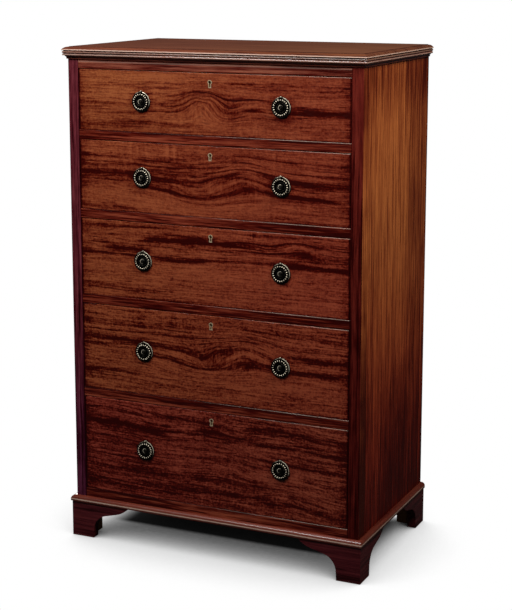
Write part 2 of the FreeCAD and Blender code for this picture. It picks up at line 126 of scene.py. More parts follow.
def arc(across, out, half_width, height, start, end, count):
    """(across, out) points of an ellipse about a middle, from one angle to another in degrees."""
    turn = np.radians(np.linspace(start, end, count))
    return np.stack([across + half_width * np.cos(turn), out + height * np.sin(turn)], axis=-1)


def circle(count):
    """The angles of a number of even steps round a circle."""
    return np.linspace(0, 2 * math.pi, count, endpoint=False)


# Ring handles

PIVOT_UP, PIVOT_OUT = 23.2, 5.0
PLATE_RADIUS, PLATE_PEAK, PLATE_EDGE, PLATE_BACK_RING = 24.0, 26.4, 0.8, 10.0
POINT_START, POINT_RUN = 13.0, 7.0
DIMPLE_RADIUS, DIMPLE_OUT, DIMPLE_DEPTH = 1.4, 4.7, 0.5
BUTTON_FOOT, BUTTON_HALF, BUTTON_HEIGHT = 3.2, 2.5, 2.0
COLLAR_RADIUS, COLLAR_HALF, COLLAR_HEIGHT = 5.6, 1.35, 1.4
FIELD_START, FIELD_OUT, DISH_DEPTH = 7.4, 1.4, 0.35
ROPE_RADIUS, ROPE_HALF, ROPE_HEIGHT = 10.5, 1.1, 1.15
ROPE_STRANDS, STRAND_DEPTH, STRAND_SLANT = 32, 0.42, 2.2
RIM_HALF, RIM_HEIGHT = 1.3, 1.3
RING_RADIUS, RING_CORE = 17.4, 1.0
BEAD_RADIUS, BEAD_COUNT, BEAD_STEPS = 1.9, 20, 20
PIN_RADIUS, PIN_HALF, PIN_DOME = 0.8, 4.3, 0.35
EAR_INNER, EAR_OUTER, EAR_RADIUS = 2.5, 4.1, 1.9
EAR_FOOT, EAR_BEVEL, EAR_TAPER = 0.6, 0.3, 0.86
BARREL_RADIUS, BARREL_HALF, BARREL_BORE, BARREL_RIM = 1.9, 2.2, 0.86, 0.35
NECK_WIDE, NECK_DEEP, NECK_WAIST, NECK_LAP = 1.6, 1.25, 0.22, 0.5
BOLT_RADIUS, BOLT_HEAD, BOLT_END, BOLT_TIP = 2.5, 0.3, -29.0, 0.5
THREAD_START, THREAD_STOP, THREAD_STEP = -21.5, -28.6, 0.15
THREAD_PITCH, THREAD_DEPTH = 0.9, 0.22
NUT_APOTHEM, NUT_FACE, NUT_END = 4.76, -22.0, -26.0
NUT_BEVEL, NUT_TAPER, NUT_GAP = 0.35, 0.94, 0.02

# Distances out from which rope and rim, collar and button are rubbed, and radius of the button's dark middle
ROPE_WORN, COLLAR_WORN, BUTTON_WORN, BUTTON_DARK = 1.9, 4.0, 4.5, 0.9

# Angles at which the painted highlight on the rim and on the collar is brightest, and the thickness from
# which a bead is
RIM_HIGHLIGHT_ANGLE, COLLAR_HIGHLIGHT_ANGLE = 0.9, 2.6
BEAD_WORN = 1.3


def on_handle(pivot, across, up, out):
    """Points of the frame, from distances across, up and out from the middle of a handle's plate."""
    x, y, z = pivot
    place = np.broadcast_arrays(x + across * MM, y + (PIVOT_OUT - out) * MM, z + (up - PIVOT_UP) * MM)
    return np.stack(place, axis=-1)


def about_plate(pivot, radius, angle, out):
    """Points about the middle of a plate, from a radius, an angle and a distance out."""
    return on_handle(pivot, radius * np.cos(angle), radius * np.sin(angle), out)


def about_pin(pivot, profile, angle):
    """Points of a profile of (across, radius) rows turned about the pin."""
    across, radius = profile[:, :1], profile[:, 1:]
    return on_handle(pivot, across, PIVOT_UP + radius * np.sin(angle), PIVOT_OUT + radius * np.cos(angle))


def plate_profile():
    """Half the section of a back plate, as (radius, out) rows: half ellipses joined by straight runs."""
    spread = np.linspace(0, 1, 5)
    dimple = np.stack([DIMPLE_RADIUS * spread, DIMPLE_OUT + DIMPLE_DEPTH * spread ** 2], axis=-1)
    button = arc(DIMPLE_RADIUS, BUTTON_FOOT, BUTTON_HALF, BUTTON_HEIGHT, 90, 0, 9)
    collar = arc(COLLAR_RADIUS, BUTTON_FOOT, COLLAR_HALF, COLLAR_HEIGHT, 180, 0, 13)
    rope = arc(ROPE_RADIUS, FIELD_OUT, ROPE_HALF, ROPE_HEIGHT, 180, 0, 11)
    spread = np.linspace(0, 1, 9)[1:-1]
    dish_start, dish_end = ROPE_RADIUS + ROPE_HALF, PLATE_RADIUS - 2 * RIM_HALF
    dish_radius = dish_start + (dish_end - dish_start) * spread
    dish = np.stack([dish_radius, FIELD_OUT - DISH_DEPTH * np.sin(math.pi * spread)], axis=-1)
    rim = arc(PLATE_RADIUS - RIM_HALF, FIELD_OUT, RIM_HALF, RIM_HEIGHT, 180, 0, 13)
    edge = [[PLATE_RADIUS, PLATE_EDGE], [PLATE_RADIUS, 0.0], [PLATE_BACK_RING, 0.0], [0.0, 0.0]]
    return np.concatenate([dimple, button, collar, [[FIELD_START, FIELD_OUT]], rope, dish, rim, edge])


def plate_wear_and_highlight(radius, angle, out):
    """How rubbed the plate is: most on the collar, less on the button, and unevenly round rope and rim, with
    a painted highlight that makes rim and collar paler towards one angle.
    """
    on_rim, on_collar = radius > ROPE_RADIUS + ROPE_HALF, radius > COLLAR_RADIUS - COLLAR_HALF
    low = np.clip((out - ROPE_WORN) / 0.5, 0, 1)
    # Painted highlight: the rim paler towards one angle.
    low = low * np.where(on_rim, 0.55 + 0.45 * np.cos(angle - RIM_HIGHLIGHT_ANGLE), 0.45)
    collar = np.clip((out - COLLAR_WORN) / 0.5, 0, 1) * on_collar
    # Painted highlight: the collar paler towards one angle.
    collar = collar * (0.72 + 0.28 * np.cos(angle - COLLAR_HIGHLIGHT_ANGLE))
    button = np.clip((out - BUTTON_WORN) / 0.4, 0, 1) * (radius > BUTTON_DARK)
    return np.where(radius > FIELD_START, low, np.maximum(0.95 * collar, 0.5 * button))


def plate_surface(pivot):
    """A turned back plate: a dimpled button in a ring, a rope circle and a raised rim, pointed at the top.

    The rope adds a wave along its circle. Near the rim the radius grows to the two tangents from the peak:
    plate radius over the cosine of the angle short of where they touch.
    """
    profile = plate_profile()
    radius, out = profile[:, :1], profile[:, 1:]
    angle = circle(160)
    touch = math.acos(PLATE_RADIUS / PLATE_PEAK)
    from_top = np.abs(np.angle(np.exp(1j * (angle - math.pi / 2))))
    pointed = 1 / np.cos(np.maximum(0, touch - from_top))
    share = np.clip((radius - POINT_START) / POINT_RUN, 0, 1)
    stretch = 1 + (pointed - 1) * share ** 2 * (3 - 2 * share)
    from_rope = (radius - ROPE_RADIUS) / ROPE_HALF
    on_rope = np.clip(1 - np.abs(from_rope), 0, 1) * (out > FIELD_OUT)
    out = out + STRAND_DEPTH * on_rope * np.cos(ROPE_STRANDS * angle + STRAND_SLANT * from_rope)
    points, quads = loft(about_plate(pivot, radius * stretch, angle, out))
    return points, quads, plate_wear_and_highlight(radius, angle, out).reshape(-1)


def ear_surface(pivot, side):
    """A lug that holds the pin: a strip with a round end, carried sideways, with both arrises taken off."""
    round_end = arc(PIVOT_OUT, PIVOT_UP, EAR_RADIUS, EAR_RADIUS, -90, 90, 13)
    lower, upper = [[EAR_FOOT, PIVOT_UP - EAR_RADIUS]], [[EAR_FOOT, PIVOT_UP + EAR_RADIUS]]
    outline = np.concatenate([lower, round_end, upper])
    middle = outline.mean(axis=0)
    stations = [EAR_INNER, EAR_INNER, EAR_INNER + EAR_BEVEL, EAR_OUTER - EAR_BEVEL, EAR_OUTER, EAR_OUTER]
    sizes = np.array([0.0, EAR_TAPER, 1.0, 1.0, EAR_TAPER, 0.0])
    loops = middle + (outline - middle) * sizes[:, None, None]
    across = side * np.array(stations)[:, None]
    points, quads = loft(on_handle(pivot, across, loops[..., 1], loops[..., 0]))
    return points, quads, np.repeat(0.5 * sizes, len(outline))


def pin_surface(pivot):
    """The pivot pin: a cylinder across the ears with a domed head at each end."""
    dome = arc(0, 0, PIN_DOME, PIN_RADIUS, 0, 90, 5)
    shoulder = PIN_HALF - PIN_DOME
    profile = np.concatenate([dome * [-1, 1] - [shoulder, 0], dome[::-1] + [shoulder, 0]])
    points, quads = loft(about_pin(pivot, profile, circle(16)))
    return points, quads, 0.55


def bolt_surface(pivot):
    """The bolt behind the plate: a shank whose tail has a screw thread, a wave that climbs with the angle."""
    shank = np.array([[0.0, BOLT_HEAD], [BOLT_RADIUS, BOLT_HEAD], [BOLT_RADIUS, THREAD_START]])
    steps = np.arange(THREAD_START - THREAD_STEP, THREAD_STOP, -THREAD_STEP)
    thread = np.stack([np.full(len(steps), BOLT_RADIUS), steps], axis=-1)
    tip = np.array([[BOLT_RADIUS - BOLT_TIP, BOLT_END], [0.0, BOLT_END]])
    profile = np.concatenate([shank, thread, tip])
    radius, out = profile[:, :1], profile[:, 1:]
    angle = circle(24)
    threaded = (radius == BOLT_RADIUS) & (out < THREAD_START)
    groove = 0.5 + 0.5 * np.cos(angle - 2 * math.pi * out / THREAD_PITCH)
    points, quads = loft(about_plate(pivot, radius - THREAD_DEPTH * groove * threaded, angle, out))
    return points, quads, 0.35


def nut_surface(pivot):
    """A six-sided nut: the radius is the apothem over the cosine of the angle from the middle of a side."""
    face = [[0.0, NUT_FACE], [NUT_TAPER, NUT_FACE], [1.0, NUT_FACE - NUT_BEVEL]]
    end = [[1.0, NUT_END + NUT_BEVEL], [NUT_TAPER, NUT_END], [0.0, NUT_END]]
    rows = np.array(face + end)
    size, out = rows[:, :1], rows[:, 1:]
    angle = circle(48)
    from_side = np.mod(angle + math.pi / 6, math.pi / 3) - math.pi / 6
    radius = np.where(size == 0, BOLT_RADIUS + NUT_GAP, size * NUT_APOTHEM / np.cos(from_side))
    points, quads = loft(about_plate(pivot, radius, angle, out), wrap_rows=True)
    return points, quads, np.repeat(0.3 + 0.4 * (size[:, 0] > NUT_TAPER), len(angle))


def ring_surface(pivot):
    """A ring of beads on a wire. The tube is as thick as the nearest bead, a sphere, or else as the wire."""
    angle = circle(BEAD_STEPS * BEAD_COUNT)[:, None]
    pitch = 2 * math.pi / BEAD_COUNT
    from_bead = (np.mod(angle + pitch / 2, pitch) - pitch / 2) * RING_RADIUS
    bead = np.sqrt(np.maximum(BEAD_RADIUS ** 2 - from_bead ** 2, 0))
    tube = np.maximum(bead, RING_CORE)
    turn = circle(18)
    radius, out = RING_RADIUS + tube * np.cos(turn), PIVOT_OUT + tube * np.sin(turn)
    points, quads = loft(about_plate(pivot, radius, angle, out), wrap_rows=True)
    beaded = 0.35 + 0.65 * np.clip((tube - BEAD_WORN) / 0.35, 0, 1)
    worn_and_highlight = beaded * np.clip(0.55 + 0.9 * np.sin(turn), 0, 1)
    return points, quads, worn_and_highlight.reshape(-1)


def barrel_surface(pivot):
    """The eye on the pin: a bored barrel with rounded rims, a closed loop of points turned about the pin."""
    shoulder, girth = BARREL_HALF - BARREL_RIM, BARREL_RADIUS - BARREL_RIM
    right_rim = arc(shoulder, girth, BARREL_RIM, BARREL_RIM, 0, 90, 4)
    left_rim = arc(-shoulder, girth, BARREL_RIM, BARREL_RIM, 90, 180, 4)
    bore = [[-BARREL_HALF, BARREL_BORE], [BARREL_HALF, BARREL_BORE]]
    loop = np.concatenate([right_rim, left_rim, bore])
    points, quads = loft(about_pin(pivot, loop, circle(24)), wrap_rows=True)
    return points, quads, 0.6


def neck_surface(pivot):
    """The neck from ring to eye: an oval column, waisted by a sine, and closed at both ends."""
    rise = np.concatenate([[0.0], np.linspace(0, 1, 9), [1.0]])[:, None]
    girth = 1.0 - NECK_WAIST * np.sin(math.pi * rise)
    girth[[0, -1]] = 0.0
    angle = circle(20)
    up = RING_RADIUS + (PIVOT_UP - BARREL_BORE - NECK_LAP - RING_RADIUS) * rise
    across, out = NECK_WIDE * girth * np.cos(angle), NECK_DEEP * girth * np.sin(angle)
    points, quads = loft(on_handle(pivot, across, up, PIVOT_OUT + out))
    return points, quads, 0.5


def add_handles(finish):
    """Two plates with their pins, bolts and nuts, and two beaded rings, on each drawer."""
    for number in DRAWERS:
        drawer = f"drawer_{number}"
        plates = []
        for hand in HANDS:
            ring = f"ring_{number}_{hand}"
            pivot = PIVOTS[ring]
            plates += [plate_surface(pivot), ear_surface(pivot, -1), ear_surface(pivot, 1)]
            plates += [pin_surface(pivot), bolt_surface(pivot), nut_surface(pivot)]
            pull = [ring_surface(pivot), neck_surface(pivot), barrel_surface(pivot)]
            make_piece(f"{drawer}_beaded_ring_{hand}", pull, finish, ring, f"{drawer}_ring_{hand}")
        make_piece(f"{drawer}_rope_plates", plates, finish, drawer, f"{drawer}_handle_plates")


# Finishes

class Field:
    """A value that varies over a surface. Python arithmetic on it adds the nodes that work it out."""

    def __init__(self, finish, socket):
        self.finish = finish
        self.socket = socket

    def __add__(self, other):
        return self.finish.math("ADD", self, other)

    def __sub__(self, other):
        return self.finish.math("SUBTRACT", self, other)

    def __rsub__(self, other):
        return self.finish.math("SUBTRACT", other, self)

    def __mul__(self, other):
        return self.finish.math("MULTIPLY", self, other)

    def __pow__(self, other):
        return self.finish.math("POWER", self, other)

    def __rpow__(self, other):
        return self.finish.math("POWER", other, self)

    def __abs__(self):
        return self.finish.math("ABSOLUTE", self)

    def __floor__(self):
        return self.finish.math("FLOOR", self)

    __radd__ = __add__
    __rmul__ = __mul__

    def larger(self, other):
        return self.finish.math("MAXIMUM", self, other)

    def smaller(self, other):
        return self.finish.math("MINIMUM", self, other)

    def above(self, other):
        return self.finish.math("GREATER_THAN", self, other)

    def rise(self, low, high):
        """From 0 at low to 1 at high, with soft ends."""
        inputs = {"Value": self, "From Min": low, "From Max": high}
        return self.finish.add("ShaderNodeMapRange", {"interpolation_type": "SMOOTHSTEP"}, inputs)

    def bell(self, middle, half):
        """A hump of height 1 about the middle, that falls to a third at half to each side."""
        ratio = (self - middle) * (1 / half)
        return math.exp(-1) ** (ratio * ratio)


class Finish:
    """A material, or the surround, built up from fields of the place and then closed on one shader."""

    def __init__(self, name, owners="materials", output="ShaderNodeOutputMaterial"):
        self.owner = getattr(bpy.data, owners).new(name)
        self.owner.use_nodes = True
        self.tree = self.owner.node_tree
        self.tree.nodes.clear()
        self.surface = self.tree.nodes.new(output).inputs["Surface"]

    def add(self, kind, settings, inputs, output=0):
        """A node of a kind, with its settings made first, and then its sockets given values or fields."""
        node = self.tree.nodes.new(kind)
        for name, value in settings.items():
            if name == "stops":
                self.set_stops(node.color_ramp.elements, value)
            else:
                setattr(node, name, value)
        for key, value in inputs.items():
            self.feed(node.inputs[key], value)
        return Field(self, node.outputs[output])

    @staticmethod
    def set_stops(elements, stops):
        """Gives a colour ramp its stops, each a place and a colour."""
        while len(elements) < len(stops):
            elements.new(1.0)
        for element, (place, colour) in zip(elements, stops):
            element.position = place
            element.color = (*colour, 1.0)

    def feed(self, socket, value):
        """Links a field to a socket, or sets a fixed value on it."""
        if isinstance(value, Field):
            self.tree.links.new(value.socket, socket)
        elif isinstance(value, tuple) and len(value) == 3 and socket.type == "RGBA":
            socket.default_value = (*value, 1.0)
        else:
            socket.default_value = value

    def math(self, operation, first, second=None):
        """One step of arithmetic on one or two values."""
        inputs = {0: first} if second is None else {0: first, 1: second}
        return self.add("ShaderNodeMath", {"operation": operation}, inputs)

    def place(self):
        """Object coordinates in metres, as three fields."""
        where = self.add("ShaderNodeTexCoord", {}, {}, "Object")
        return [self.add("ShaderNodeSeparateXYZ", {}, {0: where}, axis) for axis in range(3)]

    def noise(self, u, v, w, detail=3.0, roughness=0.55):
        """Random values about zero, mostly within a quarter, in cells one unit wide."""
        where = self.add("ShaderNodeCombineXYZ", {}, {0: u, 1: v, 2: w})
        inputs = {"Vector": where, "Scale": 1.0, "Detail": detail, "Roughness": roughness}
        return self.add("ShaderNodeTexNoise", {}, inputs) - 0.5

    def ramp(self, value, stops):
        """The colour at a value between the stops."""
        return self.add("ShaderNodeValToRGB", {"stops": stops}, {0: value})

    def mix(self, factor, first, second, blend="MIX"):
        """One colour laid over another."""
        settings = {"data_type": "RGBA", "blend_type": blend, "clamp_factor": True}
        return self.add("ShaderNodeMix", settings, {0: factor, 6: first, 7: second}, 2)

    def close_on(self, shader):
        """The finished material or surround, with this shader on its surface."""
        self.feed(self.surface, shader)
        return self.owner

    def close(self, colour, roughness, height, depth, **others):
        """The finished material: colour, roughness, a height in units of depth, and other values by name."""
        bump = self.add("ShaderNodeBump", {}, {"Height": height, "Distance": depth, "Strength": 1.0})
        inputs = {"Base Color": colour, "Roughness": roughness, "Normal": bump}
        inputs.update({key.replace("_", " "): value for key, value in others.items()})
        return self.close_on(self.add("ShaderNodeBsdfPrincipled", {}, inputs))


# Gloss of well kept, dulled, waxed and much handled wood
POLISH = {"Coat_Weight": 0.08, "Coat_Roughness": 0.16, "Specular_IOR_Level": 0.2}
DULLED = {"Coat_Weight": 0.0, "Coat_Roughness": 0.16, "Specular_IOR_Level": 0.1}
WAXED = {"Coat_Weight": 0.4, "Coat_Roughness": 0.08, "Specular_IOR_Level": 0.25}
HANDLED = {"Coat_Weight": 0.2, "Coat_Roughness": 0.10, "Specular_IOR_Level": 0.25}

# Dark, middle and light wood of each kind
FRONT_WOOD = ((0.086, 0.0046, 0.0018), (0.205, 0.0340, 0.0140), (0.350, 0.0830, 0.0340))
SIDE_WOOD = ((0.130, 0.0160, 0.0050), (0.310, 0.0710, 0.0185), (0.575, 0.1700, 0.0440))
POST_WOOD = ((0.046, 0.0032, 0.0026), (0.126, 0.0160, 0.0100), (0.250, 0.0450, 0.0250))
TOP_WOOD = ((0.100, 0.0240, 0.0120), (0.165, 0.0480, 0.0235), (0.250, 0.0780, 0.0380))
MOULDING_WOOD = ((0.050, 0.0060, 0.0034), (0.145, 0.0260, 0.0140), (0.270, 0.0620, 0.0330))
BASE_WOOD = ((0.022, 0.0014, 0.0010), (0.070, 0.0088, 0.0052), (0.150, 0.0300, 0.0170))
FOOT_WOOD = ((0.026, 0.0014, 0.0026), (0.070, 0.0074, 0.0110), (0.135, 0.0200, 0.0220))


def grain(finish, place, length, width, detail=2.0, roughness=0.55):
    """Noise in cells of a length along the grain and a width across it, in millimetres."""
    u, v, w = place
    return finish.noise(u * (1000 / length), v * (1000 / width), w * (1000 / width), detail, roughness)


def wood_ramp(finish, tone, wood):
    """The colours of a kind of wood, from nearly black at a tone of 0 to its light colour at 1."""
    dark, middle, light = wood
    deep = 0.4 * dark[0], 0.25 * dark[1], 0.25 * dark[2]
    return finish.ramp(tone, [(0.0, deep), (0.22, dark), (0.55, middle), (1.0, light)])


def polished_wood(finish, place, tone, wood):
    """Colour, roughness and height of polished wood, from its tone and its place along and across the grain.

    Pores are short dark dashes along the grain, and the polish is a little uneven.
    """
    pores = grain(finish, place, 13, 0.8, 1.0).rise(0.07, 0.2)
    wave = grain(finish, place, 200, 110, 1.0)
    smear = grain(finish, place, 70, 22)
    colour = wood_ramp(finish, tone, wood)
    colour = finish.mix(pores * 0.4, colour, tuple(0.4 * part for part in wood[0]))
    roughness = 0.28 + 0.22 * smear + 0.18 * pores
    height = wave * 0.6 - pores * 0.12
    return colour, roughness, height


def straight_grain(finish, place, ribbon, contrast=1.0):
    """A tone field of straight grain: broad clouds, ribbon stripes, fine lines and dark dashes."""
    u, v, w = place
    bend = grain(finish, place, 420, 140, 1.0) * 0.012
    bent = u, v + bend, w + bend
    clouds = grain(finish, bent, 500, 170, 3.0)
    stripes = grain(finish, bent, 700, ribbon)
    lines = grain(finish, bent, 180, 5.5)
    hairs = grain(finish, bent, 60, 2.2)
    dashes = grain(finish, bent, 200, 7.0).rise(0.02, 0.16)
    return 0.62 + (clouds * 0.5 + stripes * 0.75 + lines * 1.0 + hairs * 0.8 - dashes * 0.3) * contrast


# Figure of the drawer fronts, in millimetres from the middle of each front.
# Tilt is the slope of the grain lines, and casts tint the left and the right end.
# A swell lifts the grain lines about its middle: (across, up, half width, half height, lift).
# A streak is a dark band along the grain lines: (level, start, end, half thickness, depth of colour).
# A zone is where fine dark dashes gather: (level, half height, strength).
# A cloud is a paler or darker place: (across, up, half width, half height, change of tone).
# A ripple is a patch of short bars across the grain: (across, up, half width, half height, strength).
CURL = dict(
    tilt=0.0,
    tone=0.08,
    mottle=0.2,
    casts=((1.0, 1.17, 0.94), (1.0, 0.90, 0.94)),
    swells=[(-24, 4, 44, 34, 30), (44, -16, 40, 30, -14), (-18, 16, 12, 11, -9)],
    streaks=[
        (-4, -325, -205, 4, 0.45), (-21, -190, 90, 4, 0.55), (-10, -130, 130, 3, 0.55), (3, -110, 70, 3, 0.5),
        (-58, -360, -170, 12, 0.3), (-11, 195, 370, 7, 0.65), (52, 60, 360, 3, 0.4), (40, 100, 310, 2, 0.35),
        (34, -230, -90, 3, 0.35), (-50, -250, -30, 4, 0.35), (14, -120, 130, 2, 0.45), (-30, 30, 200, 4, 0.3),
    ],
    zones=[(0, 30, 0.7), (48, 12, 0.6)],
    clouds=[
        (-200, 38, 170, 42, 0.2), (-60, -45, 140, 26, 0.06), (40, 10, 120, 70, -0.08),
        (280, 10, 120, 60, -0.05),
    ],
    ripples=[(-160, 30, 90, 24, 0.4)],
)
WAVE = dict(
    tilt=-0.01,
    tone=0.02,
    mottle=0.15,
    casts=((1.0, 1.04, 0.92), (1.0, 0.86, 0.92)),
    swells=[(-14, -36, 92, 34, -20), (84, 18, 66, 44, 22), (14, -4, 30, 22, 5)],
    streaks=[
        (6, -370, -170, 7, 0.75), (3, -200, 80, 5, 0.6), (-12, -370, -210, 3, 0.45),
        (-23, -170, 330, 5, 0.65), (29, -360, 40, 3, 0.5), (43, -360, -70, 3, 0.4), (9, 195, 370, 6, 0.6),
        (-22, 205, 300, 5, 0.4), (-78, -360, -200, 5, 0.5), (58, 60, 360, 2, 0.4), (-6, 20, 190, 4, 0.45),
        (36, 70, 120, 4, 0.5), (-40, -90, 130, 3, 0.35),
    ],
    zones=[(12, 34, 0.9), (-78, 10, 0.5)],
    clouds=[
        (0, -60, 330, 34, 0.08), (-336, 50, 14, 6, -0.6), (250, 8, 60, 14, -0.1), (100, 2, 45, 22, 0.12),
    ],
    ripples=[
        (-95, 68, 26, 16, 1.9), (165, 70, 13, 12, 1.6), (110, -6, 60, 30, 0.5), (-190, 60, 60, 20, 0.5),
    ],
)
PLAIN = dict(
    tilt=0.006,
    tone=0.035,
    mottle=0.12,
    casts=((1.0, 1.05, 0.92), (1.0, 0.80, 0.92)),
    swells=[(-90, 10, 120, 40, -4), (150, 60, 40, 22, -6), (230, 50, 50, 24, 6)],
    streaks=[
        (58, -170, 65, 7, 1.0), (15, -370, -190, 4, 0.6), (15, -150, -20, 6, 1.0), (17, -30, 200, 3, 0.5),
        (16, 195, 370, 6, 1.0), (31, -275, -165, 6, 0.8), (40, 190, 330, 5, 0.6), (54, 50, 190, 3, 0.55),
        (67, 60, 340, 3, 0.45), (82, -340, -90, 3, 0.4), (84, 80, 300, 2, 0.45), (-61, -350, -230, 3, 0.5),
        (-75, -350, -190, 3, 0.55), (-92, -260, -50, 4, 0.45), (-50, 0, 345, 1, 0.5), (46, 120, 250, 4, 0.5),
    ],
    zones=[(50, 34, 0.95), (-74, 12, 0.6)],
    clouds=[
        (0, -36, 360, 40, 0.12), (-102, -36, 4, 3, -0.6), (-104, -68, 5, 3, -0.7), (240, 46, 26, 5, -0.3),
        (240, 0, 120, 70, -0.07),
    ],
    ripples=[(105, 80, 20, 12, 1.4), (150, -20, 40, 20, 0.7), (-60, 80, 60, 10, 0.5)],
)
MOTTLE = dict(
    tilt=-0.03,
    tone=-0.09,
    mottle=0.6,
    casts=((0.98, 0.70, 0.98), (1.0, 0.90, 1.10)),
    swells=[(20, -20, 90, 60, 14), (-140, 60, 80, 40, -8), (190, -60, 90, 50, 12), (60, 70, 60, 30, -9)],
    streaks=[
        (54, -370, -130, 9, 0.85), (72, -40, 110, 7, 0.6), (96, 100, 370, 7, 0.55), (84, -350, -200, 4, 0.45),
        (-14, -20, 110, 14, 0.25), (20, 120, 360, 4, 0.35), (-60, -360, 200, 5, 0.35),
        (-88, -200, 360, 6, 0.35), (60, 110, 360, 4, 0.45), (-104, -360, -60, 6, 0.4),
    ],
    zones=[(75, 42, 0.9), (-60, 50, 0.5)],
    clouds=[
        (-280, 20, 100, 60, -0.1), (-60, 0, 120, 40, -0.1), (-220, -64, 140, 44, -0.15),
        (0, -106, 400, 30, -0.08), (-200, 106, 160, 22, 0.08), (200, -10, 130, 50, 0.05),
    ],
    ripples=[(-60, 96, 60, 14, 1.2), (60, -70, 150, 30, 0.4)],
)

# Figure of each drawer, how far it is raised in millimetres, and the strength of its fine lines
FIGURES = {
    1: (CURL, 0.0, 1.2),
    2: (WAVE, 0.0, 1.25),
    3: (PLAIN, 0.0, 1.55),
    4: (WAVE, 18.0, 1.9),
    5: (MOTTLE, 0.0, 2.0),
}

# Each end of a streak fades over this distance to both sides, in millimetres
STREAK_FADE = 25


def patch(u, v, across, up, half_width, half_height):
    """A soft spot of height 1, from millimetres."""
    return u.bell(across * MM, half_width * MM) * v.bell(up * MM, half_height * MM)


def bent_level(finish, u, v, figure, seed):
    """The level of each place across the grain lines, which are tilted, a little wavy, and bent by swells."""
    level = v - u * figure["tilt"]
    for *spot, lift in figure["swells"]:
        level = level - patch(u, v, *spot) * (lift * MM)
    return level + grain(finish, (u, v, seed), 200, 60) * 0.014


def dark_lines(finish, u, level, place, figure):
    """How dark the wood is in fine dashes, which gather in the zones, and in streaks with frayed edges."""
    crowd = 0.25
    for middle, half, strength in figure["zones"]:
        crowd = level.bell(middle * MM, half * MM) * strength + crowd
    long_dashes = grain(finish, place, 190, 9.0).rise(0.02, 0.16)
    short_dashes = grain(finish, place, 60, 4.2).rise(0.04, 0.18)
    dark = (long_dashes * 0.4 + short_dashes * 0.3) * crowd
    frayed = level + grain(finish, place, 80, 13) * 0.010 + grain(finish, place, 28, 4.5) * 0.004
    for middle, start, end, half, depth in figure["streaks"]:
        begun = u.rise((start - STREAK_FADE) * MM, (start + STREAK_FADE) * MM)
        ended = u.rise((end + STREAK_FADE) * MM, (end - STREAK_FADE) * MM)
        dark = frayed.bell(middle * MM, half * MM) * begun * ended * depth + dark
    return dark


def figured_tone(finish, u, v, w, figure, sharpness, seed):
    """The tone of figured wood, and its level across the grain lines."""
    level = bent_level(finish, u, v, figure, seed)
    place = u + seed, level, w
    broad = grain(finish, place, 600, 65) * 0.4 + grain(finish, place, 260, 15, 3.0) * 0.55
    mottle = grain(finish, place, 75, 42, 3.0) * figure["mottle"]
    lines = grain(finish, place, 110, 4.4, 3.0, 0.65) + grain(finish, place, 24, 1.9, 3.0, 0.7)
    flecks = grain(finish, place, 4.6, 4.6, 2.0, 0.7)
    tone = 0.64 + figure["tone"] + broad + mottle + (lines * 0.95 + flecks * 0.9) * sharpness
    ripple = 0.3
    for *spot, strength in figure["ripples"]:
        ripple = patch(u, v, *spot) * strength + ripple
    tone = tone + finish.noise(u * 110.0 + seed, v * 12.0, seed, 2.0) * ripple
    for *spot, change in figure["clouds"]:
        tone = tone + patch(u, v, *spot) * change
    return tone - dark_lines(finish, u, level, place, figure), level


# Pale colour of highlights painted on arrises and crests, and of bare wood rubbed at the feet
PALE_WEAR_AND_HIGHLIGHT = (0.62, 0.42, 0.33)


def highlight_length(finish, x):
    """How far a painted highlight runs along a level arris: hardly at the left, well at the right, and
    unevenly between.
    """
    return (x.rise(-0.3, 0.34) + finish.noise(x * 9.0, 0.3, 0.7) * 1.2).rise(0.25, 1.0) * 0.5


def drawer_front_finish(number):
    """Figured mahogany, darker towards its ends, with a painted shadow line along its ends and foot, darker
    round the handles from grime and painted shade, and a painted highlight on its top arris.
    """
    figure, raise_by, sharpness = FIGURES[number]
    low, high = FRONTS[number]
    finish = Finish(f"figured_mahogany_{number}")
    u, y, z = finish.place()
    v = z - ((low.z + high.z) / 2 + raise_by * MM)
    seed = 3.7 * number
    tone, level = figured_tone(finish, u, v, y, figure, sharpness, seed)
    ragged = 0.6 + finish.noise(u * 40.0, v * 22.0, seed) * 1.8
    ends = abs(u).rise(high.x - 0.036, high.x + 0.004) * ragged
    # A painted shadow line along both ends and the foot, beside the gaps round the drawer.
    painted_gap_shadow = abs(u).rise(high.x - 0.0045, high.x - 0.0015) + z.rise(low.z + 0.0035, low.z + 0.001)
    tone = tone - ends * 0.42 - painted_gap_shadow * 0.4
    # Darker round each handle: handling grime, and a painted shade about the plate.
    for hand in HANDS:
        pivot = PIVOTS[f"ring_{number}_{hand}"]
        du, dv = u - pivot[0], z - (pivot[2] - PIVOT_UP * MM)
        reach = (du * du + dv * dv) ** 0.5
        tone = tone - reach.rise(0.040, 0.022) * 0.2
    colour, roughness, height = polished_wood(finish, (u, level, y), tone, FRONT_WOOD)
    cast = finish.mix(u.rise(low.x, high.x), *figure["casts"])
    colour = finish.mix(1.0, colour, cast, "MULTIPLY")
    # A painted highlight: a pale line along the top arris of the front.
    arris = z.rise(high.z - 0.0018, high.z - 0.0010) * highlight_length(finish, u - 0.1)
    colour = finish.mix(arris * 0.75, colour, PALE_WEAR_AND_HIGHLIGHT)
    return finish.close(colour, roughness, height, 0.0005, **POLISH)


# Where the two boards of a side meet, behind the middle of the chest
SIDE_SEAM = 0.062


